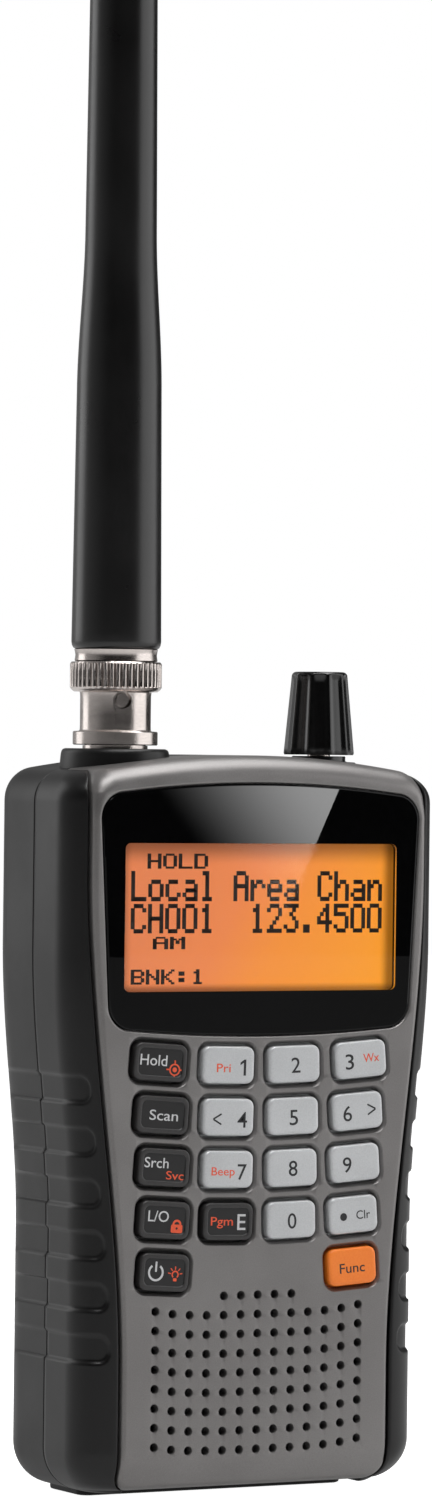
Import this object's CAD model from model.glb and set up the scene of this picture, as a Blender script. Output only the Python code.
"""Looks of a hand-held scanning receiver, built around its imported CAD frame.

Every length inside a class is in millimetres and every mesh is stored in metres. X runs to the
user's right, the front faces -Y and Z is up, as in the frame.
"""

import logging
from dataclasses import dataclass
from enum import Enum
from typing import Callable, Iterable, Sequence

import bmesh
import bpy
import numpy as np
from mathutils import Matrix, Vector
from mathutils.geometry import delaunay_2d_cdt


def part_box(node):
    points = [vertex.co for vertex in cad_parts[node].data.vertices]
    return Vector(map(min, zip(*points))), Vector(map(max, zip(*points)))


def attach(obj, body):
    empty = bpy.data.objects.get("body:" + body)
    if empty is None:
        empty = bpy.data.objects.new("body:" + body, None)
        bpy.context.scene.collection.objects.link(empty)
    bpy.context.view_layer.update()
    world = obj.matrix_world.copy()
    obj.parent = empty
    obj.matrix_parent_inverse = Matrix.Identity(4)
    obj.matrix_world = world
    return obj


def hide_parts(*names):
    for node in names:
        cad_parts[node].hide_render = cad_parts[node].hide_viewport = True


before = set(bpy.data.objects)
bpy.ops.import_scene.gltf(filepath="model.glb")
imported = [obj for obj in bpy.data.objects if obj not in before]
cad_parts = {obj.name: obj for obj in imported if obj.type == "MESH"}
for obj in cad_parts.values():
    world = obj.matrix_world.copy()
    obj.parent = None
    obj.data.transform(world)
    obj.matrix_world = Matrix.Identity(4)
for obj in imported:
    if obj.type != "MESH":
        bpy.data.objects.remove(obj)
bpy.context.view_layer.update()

LOG = logging.getLogger("receiver")
MM = 0.001
Array = np.ndarray
Colour = tuple[float, float, float]


def smooth(t: Array | float) -> Array:
    """Returns t eased from 0 to 1: 3t squared less 2t cubed, flat beyond both ends."""
    u = np.clip(t, 0, 1)
    return u * u * (3 - 2 * u)


def draw_in(radius: float, past: Array | float) -> Array:
    """Returns a rounded end's draw-in: radius less the root of (radius squared less past squared)."""
    t = np.clip(past, 0, radius)
    return radius - np.sqrt(np.maximum(radius * radius - t * t, 0))


# ---------------------------------------------------------------- finishes


class Graph:
    """A material's nodes, made and joined in few words."""

    def __init__(self, name: str) -> None:
        """Starts an empty material called name."""
        self.material = bpy.data.materials.new(name)
        self.material.use_nodes = True
        self.tree = self.material.node_tree
        self.tree.nodes.clear()

    def node(self, kind: str, inputs: dict, **settings: object) -> bpy.types.Node:
        """Adds one node.

        Args:
            kind: the node's type without its ShaderNode prefix.
            inputs: socket name or number to a value, or to another node whose first output is joined.
            settings: the node's own options.

        Returns:
            The new node.
        """
        made = self.tree.nodes.new("ShaderNode" + kind)
        for key, value in settings.items():
            setattr(made, key, value)
        for key, value in inputs.items():
            if isinstance(value, bpy.types.Node):
                self.tree.links.new(value.outputs[0], made.inputs[key])
            elif isinstance(value, bpy.types.NodeSocket):
                self.tree.links.new(value, made.inputs[key])
            else:
                made.inputs[key].default_value = value
        return made

    def place(self, stretch: Colour = (1, 1, 1)) -> bpy.types.Node:
        """Returns Object coordinates through a Mapping node that scales them by stretch."""
        where = self.node("TexCoord", {})
        return self.node("Mapping", {"Vector": where.outputs["Object"], "Scale": stretch})

    def ramp(self, factor: bpy.types.Node, stops: Sequence[tuple[float, Colour]]) -> bpy.types.Node:
        """Adds a colour ramp.

        Args:
            factor: what the ramp is read at.
            stops: (position, colour) pairs in rising order.

        Returns:
            The ramp's node.
        """
        made = self.node("ValToRGB", {"Fac": factor})
        made.color_ramp.elements[0].position = stops[0][0]
        made.color_ramp.elements[1].position = stops[-1][0]
        made.color_ramp.elements[0].color = (*stops[0][1], 1)
        made.color_ramp.elements[1].color = (*stops[-1][1], 1)
        for where, colour in stops[1:-1]:
            made.color_ramp.elements.new(where).color = (*colour, 1)
        return made

    def finish(self, **sockets: object) -> bpy.types.Material:
        """Ends the material in a Principled shader.

        Args:
            sockets: the shader's sockets by name, underscores standing for spaces.

        Returns:
            The finished material.
        """
        inputs = {key.replace("_", " "): value for key, value in sockets.items()}
        shader = self.node("BsdfPrincipled", inputs)
        self.node("OutputMaterial", {"Surface": shader})
        return self.material


@dataclass(frozen=True)
class Finish:
    """A moulded, painted, plated or printed surface with grain, mottling and fine relief.

    dark and light are the colours that a fine grain and a broad mottle move between, grain and mottle
    are spots per metre, and relief is the depth of the bumps in metres.
    """

    name: str
    dark: Colour
    light: Colour
    rough: tuple[float, float] = (0.4, 0.5)
    metal: float = 0.0
    grain: float = 2600.0
    mottle: float = 60.0
    relief: float = 0.00002
    bump: float = 0.25
    stretch: Colour = (1, 1, 1)
    coat: float = 0.0
    specular: float = 0.5
    sheen: float = 0.0

    def make(self) -> bpy.types.Material:
        """Returns the material, made once."""
        name = "look_" + self.name
        if name in bpy.data.materials:
            return bpy.data.materials[name]
        g = Graph(name)
        where = g.place(self.stretch)
        fine = g.node("TexNoise", {"Vector": where, "Scale": self.grain, "Detail": 3.0, "Roughness": 0.6})
        broad = g.node("TexNoise", {"Vector": where, "Scale": self.mottle, "Detail": 4.0, "Roughness": 0.55})
        both = g.node("Math", {0: fine.outputs[0], 1: broad.outputs[0]}, operation="ADD")
        half = g.node("MapRange", {"Value": both, "From Min": 0.75, "From Max": 1.25})
        tone = g.ramp(half, [(0.0, self.dark), (1.0, self.light)])
        gloss = g.node("MapRange", {"Value": broad.outputs[0], "From Min": 0.35, "From Max": 0.65,
                                    "To Min": self.rough[0], "To Max": self.rough[1]})
        bump = g.node("Bump", {"Height": fine.outputs[0], "Strength": self.bump, "Distance": self.relief})
        return g.finish(Base_Color=tone, Roughness=gloss, Metallic=self.metal, Normal=bump,
                        Coat_Weight=self.coat, Coat_Roughness=0.08, Specular_IOR_Level=self.specular,
                        Sheen_Weight=self.sheen, Sheen_Roughness=0.4)


@dataclass(frozen=True)
class ClearFinish:
    """Clear acrylic, faintly hazed."""

    name: str

    def make(self) -> bpy.types.Material:
        """Returns the material, made once."""
        name = "look_" + self.name
        if name in bpy.data.materials:
            return bpy.data.materials[name]
        g = Graph(name)
        haze = g.node("TexNoise", {"Vector": g.place(), "Scale": 90.0, "Detail": 2.0})
        gloss = g.node("MapRange", {"Value": haze.outputs[0], "To Min": 0.0, "To Max": 0.03})
        return g.finish(Base_Color=(1, 1, 1, 1), Roughness=gloss, IOR=1.2, Transmission_Weight=1.0)


@dataclass(frozen=True)
class GlowFinish:
    """Amber display light: warm salmon at one side and clear amber at the other, dimmer at its edges."""

    name: str
    low: tuple[float, float, float]
    high: tuple[float, float, float]

    def make(self) -> bpy.types.Material:
        """Returns the material; low and high are the lit box's corners in metres."""
        g = Graph("look_" + self.name)
        where = g.node("SeparateXYZ", {0: g.node("TexCoord", {}).outputs["Object"]})
        across = g.node("MapRange", {"Value": where.outputs["X"],
                                     "From Min": self.low[0], "From Max": self.high[0]})
        rise = g.node("MapRange", {"Value": where.outputs["Z"],
                                   "From Min": self.low[2], "From Max": self.high[2]})
        lean = g.node("Math", {0: rise, 1: -0.28, 2: across}, operation="MULTIPLY_ADD")
        grain = g.node("TexNoise", {"Vector": g.place(), "Scale": 4000.0, "Detail": 1.0})
        mixed = g.node("Math", {0: grain.outputs[0], 1: 0.06, 2: lean}, operation="MULTIPLY_ADD")
        tone = g.ramp(mixed, [(0.0, (0.74, 0.21, 0.075)), (0.3, (0.80, 0.225, 0.065)),
                              (0.52, (0.87, 0.27, 0.035)), (1.0, (0.93, 0.33, 0.012))])

        def edge(value: bpy.types.Node, side: float, reach: float) -> bpy.types.Node:
            """Works out how bright it is along one edge: 0.35 on it and 1 a reach away.

            Args:
                value: the place across the panel, 0 to 1.
                side: the edge's own place.
                reach: how far in it is fully bright; negative for a far edge.

            Returns:
                The brightness node.
            """
            return g.node("MapRange", {"Value": value, "From Min": side, "From Max": side + reach,
                                       "To Min": 0.35, "To Max": 1.0}, interpolation_type="SMOOTHSTEP")

        shade = edge(across, 0.0, 0.05)
        for other in (edge(across, 1.0, -0.04), edge(rise, 1.0, -0.16), edge(rise, 0.0, 0.06)):
            shade = g.node("Math", {0: shade, 1: other}, operation="MULTIPLY")
        lit = g.node("Mix", {0: 1.0, 6: tone, 7: shade}, data_type="RGBA", blend_type="MULTIPLY")
        return g.finish(Base_Color=(0.02, 0.01, 0.005, 1), Roughness=0.6, Emission_Color=lit.outputs[2],
                        Emission_Strength=1.0)


class Look(Enum):
    """The finishes, by the material slot or the part that wears them."""

    PANEL = Finish("gunmetal_paint", (0.19, 0.181, 0.178), (0.235, 0.226, 0.222), (0.34, 0.42), 0.65,
                   grain=5200, relief=0.000008, bump=0.3, specular=0.5)
    SOFT = Finish("soft_black", (0.003, 0.0028, 0.0029), (0.005, 0.0047, 0.0048), (0.30, 0.38), grain=3400,
                  relief=0.00001, bump=0.3, specular=0.36)
    SHELL = Finish("black_shell", (0.0035, 0.0033, 0.0034), (0.006, 0.0057, 0.0058), (0.36, 0.46), grain=2900,
                   relief=0.000012, bump=0.4, specular=0.4)
    WINDOW = Finish("window_gloss", (0.0012, 0.0012, 0.0013), (0.0022, 0.0022, 0.0024), (0.0, 0.012),
                    grain=800, relief=0.000001, bump=0.02, specular=0.2)
    FRAME = Finish("frame_black", (0.006, 0.006, 0.006), (0.012, 0.012, 0.012), (0.5, 0.6))
    SILICONE = Finish("silicone", (0.62, 0.62, 0.58), (0.74, 0.73, 0.69), (0.55, 0.65), sheen=0.15)
    BOARD = Finish("board_green", (0.012, 0.10, 0.04), (0.025, 0.17, 0.07), (0.3, 0.4), grain=900, coat=0.4)
    TIN = Finish("tin_plate", (0.62, 0.62, 0.60), (0.78, 0.78, 0.76), (0.22, 0.34), 1.0, stretch=(1, 1, 0.1))
    FLEX = Finish("flex_copper", (0.42, 0.19, 0.04), (0.58, 0.29, 0.07), (0.3, 0.4), coat=0.5)
    CONE = Finish("speaker_black", (0.018, 0.018, 0.020), (0.05, 0.05, 0.052), (0.7, 0.85), grain=1500,
                  relief=0.00006, bump=0.6, sheen=0.2)
    FERRITE = Finish("ferrite", (0.045, 0.045, 0.048), (0.09, 0.09, 0.093), (0.55, 0.7),
                     relief=0.00003, bump=0.5)
    KNOB = Finish("knob_black", (0.0022, 0.0022, 0.0022), (0.004, 0.004, 0.004), (0.2, 0.27), grain=1200,
                  relief=0.000002, bump=0.1, specular=0.6)
    POT = Finish("pot_body", (0.05, 0.16, 0.12), (0.09, 0.24, 0.17), (0.35, 0.45))
    NICKEL = Finish("nickel", (0.53, 0.48, 0.455), (0.64, 0.585, 0.555), (0.19, 0.27), 1.0, grain=1800,
                    relief=0.000003, bump=0.15, stretch=(1, 1, 4))
    DIELECTRIC = Finish("white_dielectric", (0.72, 0.72, 0.70), (0.82, 0.82, 0.80), (0.3, 0.4))
    GOLD = Finish("contact_gold", (0.83, 0.56, 0.20), (0.95, 0.70, 0.30), (0.18, 0.28), 1.0)
    RUBBER = Finish("antenna_rubber", (0.0018, 0.0016, 0.0017), (0.003, 0.0027, 0.0028), (0.27, 0.33),
                    grain=3000, relief=0.00001, bump=0.35, specular=0.6)
    STEEL = Finish("screw_steel", (0.20, 0.20, 0.21), (0.34, 0.34, 0.35), (0.28, 0.4), 1.0)
    WRAP = Finish("cell_wrap", (0.55, 0.29, 0.05), (0.70, 0.40, 0.09), (0.2, 0.3), 0.5, mottle=25, coat=0.6)
    KEY_DARK = Finish("key_dark", (0.0035, 0.003, 0.0035), (0.006, 0.0054, 0.0059), (0.34, 0.42), grain=3500,
                      relief=0.000008, bump=0.25)
    KEY_RIM = Finish("key_rim", (0.020, 0.019, 0.019), (0.032, 0.030, 0.030), (0.36, 0.46), grain=3500,
                     relief=0.000008, bump=0.25)
    KEY_GREY = Finish("key_grey", (0.50, 0.51, 0.52), (0.60, 0.61, 0.62), (0.32, 0.42), 0.25, grain=4200,
                      relief=0.000006, bump=0.2)
    KEY_ORANGE = Finish("key_orange", (0.93, 0.20, 0.016), (0.98, 0.25, 0.026), (0.34, 0.44), grain=3000,
                        relief=0.000006, bump=0.2)
    INK_WHITE = Finish("ink_white", (0.52, 0.52, 0.53), (0.64, 0.64, 0.65), (0.45, 0.55))
    INK_RED = Finish("ink_red", (0.72, 0.075, 0.022), (0.84, 0.11, 0.035), (0.45, 0.55))
    INK_BLACK = Finish("ink_black", (0.008, 0.008, 0.010), (0.016, 0.016, 0.018), (0.45, 0.55))
    DOTS = Finish("display_dots", (0.010, 0.005, 0.003), (0.022, 0.010, 0.006), (0.5, 0.6))
    CLEAR = ClearFinish("window_clear")

    @property
    def material(self) -> bpy.types.Material:
        """The finish's material."""
        return self.value.make()


# ---------------------------------------------------------------- mesh tools


class Shell:
    """Surface patches in millimetres, gathered, welded and made into one mesh."""

    def __init__(self) -> None:
        """Starts with no patch."""
        self.points: list[Array] = []
        self.faces: list[Array] = []
        self.looks: list[Array] = []
        self.count = 0

    def add(self, points: Array, faces: Array, look: int = 0) -> None:
        """Adds one patch.

        Args:
            points: (n, 3) places.
            faces: (m, 3) or (m, 4) indices; a triangle is held as a quad whose last corner repeats.
            look: which of the piece's materials it wears.
        """
        if faces.shape[1] == 3:
            faces = np.hstack([faces, faces[:, :1]])
        self.points.append(np.asarray(points, float))
        self.faces.append(faces + self.count)
        self.looks.append(np.full(len(faces), look))
        self.count += len(points)

    def grid(self, points: Array, wrap: bool = False, look: int = 0) -> None:
        """Adds a grid of quads.

        Args:
            points: (rows, columns, 3) places.
            wrap: whether the last column is joined to the first.
            look: which of the piece's materials it wears.
        """
        rows, columns = points.shape[:2]
        index = np.arange(rows * columns).reshape(rows, columns)
        if wrap:
            index = np.hstack([index, index[:, :1]])
        quads = np.stack([index[:-1, :-1], index[:-1, 1:], index[1:, 1:], index[1:, :-1]], -1)
        self.add(points.reshape(-1, 3), quads.reshape(-1, 4), look)

    def cap(self, ring: Array, look: int = 0) -> None:
        """Closes a ring of points with a fan about its middle.

        Args:
            ring: (n, 3) places in order.
            look: which of the piece's materials it wears.
        """
        n = len(ring)
        i = np.arange(n)
        fan = np.stack([i, (i + 1) % n, np.full(n, n)], -1)
        self.add(np.vstack([ring, ring.mean(0)]), fan, look)

    def prism(self, loop: Array, y0: float, y1: float, look: int = 0) -> None:
        """Adds a closed prism, each end a fan.

        Args:
            loop: its (x, z) outline.
            y0: the depth of one end.
            y1: the depth of the other.
            look: which of the piece's materials it wears.
        """
        front, back = lift(loop, y0), lift(loop, y1)
        self.grid(np.stack([front, back]), True, look)
        self.cap(front, look)
        self.cap(back, look)

    def build(self, name: str, looks: Sequence[Look], sharp: float = 35.0) -> bpy.types.Object:
        """Welds the patches and makes the object.

        Args:
            name: the piece's name.
            looks: its finishes in order.
            sharp: the angle in degrees past which an edge is shown sharp.

        Returns:
            The object, its faces turned outwards, with weighted normals.
        """
        points = np.concatenate(self.points)
        faces = np.concatenate(self.faces)
        look = np.concatenate(self.looks)
        _, first, where = np.unique(np.round(points, 4), axis=0, return_index=True, return_inverse=True)
        corner = where.reshape(-1)[faces]
        same = corner == np.roll(corner, -1, 1)
        opposite = (corner[:, 0] == corner[:, 2]) | (corner[:, 1] == corner[:, 3])
        repeats = same.sum(1)
        quads = (repeats == 0) & ~opposite
        halves = (repeats == 1) & ~opposite
        drop = same[halves].argmax(1)
        triangles = np.take_along_axis(corner[halves], (drop[:, None] + np.array([1, 2, 3])) % 4, 1)
        four, three = corner[quads], triangles
        mesh = bpy.data.meshes.new(name)
        mesh.vertices.add(len(first))
        mesh.vertices.foreach_set("co", (points[first] * MM).ravel())
        mesh.loops.add(four.size + three.size)
        mesh.loops.foreach_set("vertex_index", np.concatenate([four.ravel(), three.ravel()]))
        mesh.polygons.add(len(four) + len(three))
        starts = np.concatenate([np.arange(len(four)) * 4, four.size + np.arange(len(three)) * 3])
        mesh.polygons.foreach_set("loop_start", starts)
        mesh.polygons.foreach_set("material_index", np.concatenate([look[quads], look[halves]]))
        mesh.update(calc_edges=True)
        mesh.validate()
        return finish_mesh(name, mesh, looks, sharp)


def even(piece: bpy.types.Object, sharp: float) -> None:
    """Smooths a piece up to an angle in degrees and weights its normals by face area.

    Args:
        piece: the piece.
        sharp: the angle past which an edge is sharp.
    """
    piece.data.shade_smooth()
    piece.data.set_sharp_from_angle(angle=np.radians(sharp))
    weighted = piece.modifiers.new("even", "WEIGHTED_NORMAL")
    weighted.keep_sharp = True


def finish_mesh(name: str, mesh: bpy.types.Mesh, looks: Sequence[Look], sharp: float) -> bpy.types.Object:
    """Turns a mesh's faces outwards, dresses and smooths it, and links its object.

    Args:
        name: the piece's name.
        mesh: the mesh, in metres.
        looks: its finishes in order.
        sharp: the angle in degrees past which an edge is sharp.

    Returns:
        The object.
    """
    work = bmesh.new()
    work.from_mesh(mesh)
    bmesh.ops.recalc_face_normals(work, faces=work.faces)
    work.to_mesh(mesh)
    work.free()
    for look in looks:
        mesh.materials.append(look.material)
    piece = bpy.data.objects.new(name, mesh)
    bpy.context.scene.collection.objects.link(piece)
    even(piece, sharp)
    return piece


def carve(piece: bpy.types.Object, cutters: Iterable[Shell], sharp: float = 35.0) -> None:
    """Cuts each shell out of a piece, in turn, and smooths it again.

    Args:
        piece: the piece to cut.
        cutters: closed shells.
        sharp: the angle in degrees past which an edge is sharp.
    """
    for number, shell in enumerate(cutters):
        tool = shell.build(f"cutter_{number}", [], sharp)
        tool.modifiers.clear()
        piece.modifiers.clear()
        cut = piece.modifiers.new("cut", "BOOLEAN")
        cut.operation, cut.solver, cut.object = "DIFFERENCE", "MANIFOLD", tool
        shown = piece.evaluated_get(bpy.context.evaluated_depsgraph_get())
        mesh = bpy.data.meshes.new_from_object(shown)
        if len(mesh.polygons) == len(piece.data.polygons):
            LOG.warning("%s was not cut by cutter %d", piece.name, number)
        piece.modifiers.clear()
        piece.data = mesh
        bpy.data.objects.remove(tool)
    even(piece, sharp)


def lift(loop: Array, depth: Array | float) -> Array:
    """Returns an (x, z) loop as 3-D points at y = depth."""
    return np.stack([loop[..., 0], np.broadcast_to(depth, loop.shape[:-1]), loop[..., 1]], -1)


def rounded_rect(width: float, height: float, radius: float, steps: int = 6) -> Array:
    """Makes an anticlockwise loop: four quarter circles whose centres stand a radius inside each corner.

    Args:
        width: the whole width.
        height: the whole height.
        radius: the corners' radius.
        steps: segments in a corner.

    Returns:
        (n, 2) points about (0, 0).
    """
    angle = (np.arange(4)[:, None] * 90 + np.linspace(0, 90, steps + 1)).ravel()
    ray = np.stack([np.cos(np.radians(angle)), np.sin(np.radians(angle))], -1)
    sign = np.repeat(np.array([[1, 1], [-1, 1], [-1, -1], [1, -1]]), steps + 1, 0)
    return sign * (np.array([width, height]) / 2 - radius) + ray * radius


def circle(radius: float, steps: int = 16, x: float = 0.0, z: float = 0.0) -> Array:
    """Returns a circle as an anticlockwise loop about (x, z)."""
    angle = np.linspace(0, 2 * np.pi, steps, endpoint=False)
    return np.stack([x + radius * np.cos(angle), z + radius * np.sin(angle)], -1)


def outwards(loop: Array) -> Array:
    """Works out an anticlockwise loop's normals: the chord between a point's neighbours, turned right.

    Args:
        loop: (n, 2) points.

    Returns:
        (n, 2) unit normals that point out of it.
    """
    chord = np.roll(loop, -1, 0) - np.roll(loop, 1, 0)
    normal = np.stack([chord[:, 1], -chord[:, 0]], -1)
    return normal / np.linalg.norm(normal, axis=1, keepdims=True)


def plate(loops: Sequence[Array], chains: Sequence[Array] = ()) -> tuple[Array, Array]:
    """Fills a flat region with triangles by constrained Delaunay triangulation.

    Args:
        loops: closed loops; a place is inside if a ray from it crosses them an odd number of times.
        chains: open lines inside the region that triangles keep to.

    Returns:
        (n, 2) points and (m, 3) triangles.
    """
    points = np.concatenate([*loops, *chains])
    edges, start = [], 0
    for line in loops:
        i = np.arange(len(line))
        edges.append(np.stack([i, (i + 1) % len(line)], -1) + start)
        start += len(line)
    rim = np.concatenate(edges)
    for line in chains:
        i = np.arange(len(line) - 1)
        edges.append(np.stack([i, i + 1], -1) + start)
        start += len(line)
    made = delaunay_2d_cdt([Vector(p) for p in points.tolist()], np.concatenate(edges).tolist(), [], 0, 1e-6)
    corner = np.array([v[:] for v in made[0]])
    known = np.array([o[0] if o else -1 for o in made[3]])
    corner[known >= 0] = points[known[known >= 0]]
    triangles = np.array(made[2])
    side = np.roll(corner[triangles], -1, 1) - corner[triangles]
    area = np.abs(side[:, 0, 0] * side[:, 1, 1] - side[:, 0, 1] * side[:, 1, 0])
    triangles = triangles[area > 2e-4 * np.linalg.norm(side, axis=2).max(1)]
    middle = corner[triangles].mean(1)
    a, b = points[rim[:, 0]], points[rim[:, 1]]
    rise = np.where(b[:, 1] == a[:, 1], 1e-12, b[:, 1] - a[:, 1])
    inside = []
    for part in np.array_split(middle, max(1, len(middle) // 1500)):
        crossed = (a[:, 1] > part[:, 1:]) != (b[:, 1] > part[:, 1:])
        left = part[:, :1] < (b[:, 0] - a[:, 0]) * (part[:, 1:] - a[:, 1]) / rise + a[:, 0]
        inside.append((crossed & left).sum(1) % 2 == 1)
    return corner, triangles[np.concatenate(inside)]


def lathe(shell: Shell, profile: Array, x: float, y: float, steps: int = 64, closed: bool = False,
          shape: Callable[[Array, Array, Array], Array] | None = None, look: int = 0) -> None:
    """Turns a profile about a vertical axis: each (radius, height) becomes a ring.

    Args:
        shell: where the surface goes.
        profile: (k, 2) radii and heights.
        x: the axis's place across.
        y: the axis's place in depth.
        steps: points round a ring.
        closed: whether the profile is a closed loop, as a tube's is.
        shape: turns (radius, height, angle) into a new radius.
        look: which of the piece's materials it wears.
    """
    if closed:
        profile = np.vstack([profile, profile[:1]])
    angle = np.linspace(0, 2 * np.pi, steps, endpoint=False)
    radius = np.repeat(profile[:, :1], steps, 1)
    height = np.repeat(profile[:, 1:], steps, 1)
    if shape is not None:
        radius = shape(radius, height, np.broadcast_to(angle, radius.shape))
    grid = np.stack([x + radius * np.cos(angle), y + radius * np.sin(angle), height], -1)
    shell.grid(grid, True, look)


def place_piece(piece: bpy.types.Object, body: str, slot: str, *nodes: str) -> None:
    """Declares a piece to the frame.

    Args:
        piece: the piece.
        body: the body it rides on.
        slot: the material slot that its finish belongs to.
        nodes: the CAD nodes it stands for.
    """
    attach(piece, body)
    if nodes:
        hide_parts(*nodes)
    LOG.info("%s on %s: %d faces", piece.name, body, len(piece.data.polygons))


# ---------------------------------------------------------------- the case's form


@dataclass(frozen=True)
class CaseForm:
    """The outline that the covers, rails, window and keypad share."""

    width: float = 66.0
    height: float = 115.8
    face: float = -15.2
    back: float = 15.2
    part: float = -1.4
    wall: float = 1.8
    base: float = 1.0
    panel_base: float = 1.8
    waist: float = 2.85
    crown_r: float = 160.0
    low_r: float = 7.0
    shoulder_r: float = 5.0
    front_r: float = 6.5
    rear_r: float = 8.0
    edge_r: float = 3.0
    foot_pull: float = 3.8
    foot_pull_h: float = 6.5
    panel_top: float = 29.5
    panel_low: float = 23.6
    panel_r: float = 4.0
    panel_low_r: float = 3.0
    groove: float = 0.35
    display_z: float = 90.6
    grip_count: int = 6
    grip_pitch: float = 8.0
    grip_h: float = 4.6
    grip_top: float = 66.4
    grip_depth: float = 0.42
    grip_r: float = 1.9
    grip_ease: float = 0.45

    def crown(self, x: Array | float) -> Array:
        """Returns the height of the arched top: height less x squared over twice the arch's radius."""
        return self.height - np.square(x) / (2 * self.crown_r)

    def side(self, z: Array | float) -> Array:
        """Returns half the case's width at height z, eased in by the waist below the display."""
        low, high = self.display_z - 48.56, self.display_z - 4.56
        return self.width / 2 - self.waist * (1 - smooth((z - low) / (high - low)))

    def half_width(self, z: Array) -> Array:
        """Works out half the case's width: the side's, less a rounded foot and shoulder corner.

        Args:
            z: heights.

        Returns:
            Half widths.
        """
        shoulder = self.crown(self.width / 2 - self.shoulder_r) - self.shoulder_r
        foot = draw_in(self.low_r, self.base + self.low_r - z)
        return self.side(z) - foot - draw_in(self.shoulder_r, z - shoulder)

    def panel_side(self, z: Array | float) -> Array:
        """Returns half the front panel's width, eased out from its foot to the display."""
        low, high = self.display_z - 70.57, self.display_z + 7.37
        return self.panel_top - (self.panel_top - self.panel_low) * (1 - smooth((z - low) / (high - low)))

    def panel_edge(self, z: Array) -> Array:
        """Works out half the front panel's width with its own rounded corners, held at both ends.

        Args:
            z: heights.

        Returns:
            Half widths.
        """
        high = self.crown(self.panel_top - self.panel_r) - self.panel_r
        low = self.panel_base + self.panel_low_r
        return (self.panel_side(z) - draw_in(self.panel_low_r, np.minimum(low - z, self.panel_low_r * 0.999))
                - draw_in(self.panel_r, np.minimum(z - high, self.panel_r * 0.999)))

    def pull(self, z: Array | float) -> Array:
        """Returns how far the face has curved back near its foot, by a quarter ellipse."""
        u = np.clip((self.panel_base + self.foot_pull_h - np.asarray(z, float)) / self.foot_pull_h, 0, 1)
        return self.foot_pull * (1 - np.sqrt(np.maximum(1 - u * u, 0)))

    def mirrored(self, half: Array) -> Array:
        """Closes a loop with the mirror image of its right half.

        Args:
            half: (n, 2) points from the foot's middle, or a corner beside it, up to the top's.

        Returns:
            The anticlockwise loop, with no point on the middle line twice.
        """
        left = half[::-1] * np.array([-1, 1])
        skip_top = 1 if half[-1, 0] < 1e-9 else 0
        skip_foot = len(left) - 1 if half[0, 0] < 1e-9 else len(left)
        return np.vstack([half, left[skip_top:skip_foot]])

    def panel_outline(self) -> Array:
        """Returns the front panel's outline, anticlockwise."""
        angle = np.radians(np.linspace(-90, 0, 13))
        low_x = self.panel_side(self.panel_base) - self.panel_low_r
        low_z = self.panel_base + self.panel_low_r
        foot = np.stack([low_x + self.panel_low_r * np.cos(angle),
                         low_z + self.panel_low_r * np.sin(angle)], -1)
        high_x = self.panel_top - self.panel_r
        reach = self.crown_r - self.panel_r
        high_z = self.height - self.crown_r + np.sqrt(reach * reach - high_x * high_x)
        z = np.linspace(low_z, high_z, 90)[1:-1]
        side = np.stack([self.panel_side(z), z], -1)
        turn = np.radians(np.linspace(0, 90, 15)) * (1 - np.arcsin(high_x / reach) / (np.pi / 2))
        corner = np.stack([high_x + self.panel_r * np.cos(turn), high_z + self.panel_r * np.sin(turn)], -1)
        x = np.linspace(corner[-1, 0], 0, 26)[1:]
        top = np.stack([x, self.height - self.crown_r + np.sqrt(self.crown_r ** 2 - x * x)], -1)
        base = np.stack([np.linspace(0, low_x, 12)[:-1], np.full(11, self.panel_base)], -1)
        return self.mirrored(np.vstack([base, foot, side, corner, top]))

    def window_outline(self, inset: float) -> Array:
        """Draws the display window's outline, whose foot and top are gently arched.

        Args:
            inset: how far the outline is moved in; negative for out.

        Returns:
            The anticlockwise loop.
        """
        top, foot, r, arch, dip = self.height - 4.4, self.display_z - 18.4, 4.0, 1.5, 1.0
        high, low = self.panel_top - 1.4 - r, self.panel_side(foot) - 1.35 - r
        t = np.linspace(0, 1, 14)
        base = np.stack([t * low, foot + inset + dip * t * t], -1)
        angle = np.radians(np.linspace(-90, 0, 10))[1:]
        corner = np.stack([low + (r - inset) * np.cos(angle),
                           foot + dip + r + (r - inset) * np.sin(angle)], -1)
        rise = np.linspace(0, 1, 14)[1:-1, None]
        upper = np.array([high + r - inset, top - arch - r])
        side = corner[-1] + (upper - corner[-1]) * rise
        angle = np.radians(np.linspace(0, 90, 10))
        bend = np.stack([high + (r - inset) * np.cos(angle),
                         top - arch - r + (r - inset) * np.sin(angle)], -1)
        crest = np.stack([t[::-1][1:] * high, top - inset - arch * t[::-1][1:] ** 2], -1)
        return self.mirrored(np.vstack([base, corner, side, bend, crest]))

    def finger_grooves(self, s: Array, z: Array, start: float) -> Array:
        """Returns the depth of the finger grooves: rounded bars from a distance start along the section.

        Args:
            s: distance along the section.
            z: height.
            start: where the bars' rounded ends begin.

        Returns:
            The depth, eased over grip_ease inside each bar's rim.
        """
        n = np.clip(np.floor((self.grip_top - z) / self.grip_pitch), 0, self.grip_count - 1)
        middle = self.grip_top - n * self.grip_pitch - self.grip_h / 2
        r = self.grip_r
        dz = np.abs(z - middle) - (self.grip_h / 2 - r)
        ds = start + r - s
        gone = np.hypot(np.maximum(dz, 0), np.maximum(ds, 0)) + np.minimum(np.maximum(dz, ds), 0) - r
        return self.grip_depth * smooth(-gone / self.grip_ease)


FORM = CaseForm()


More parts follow.
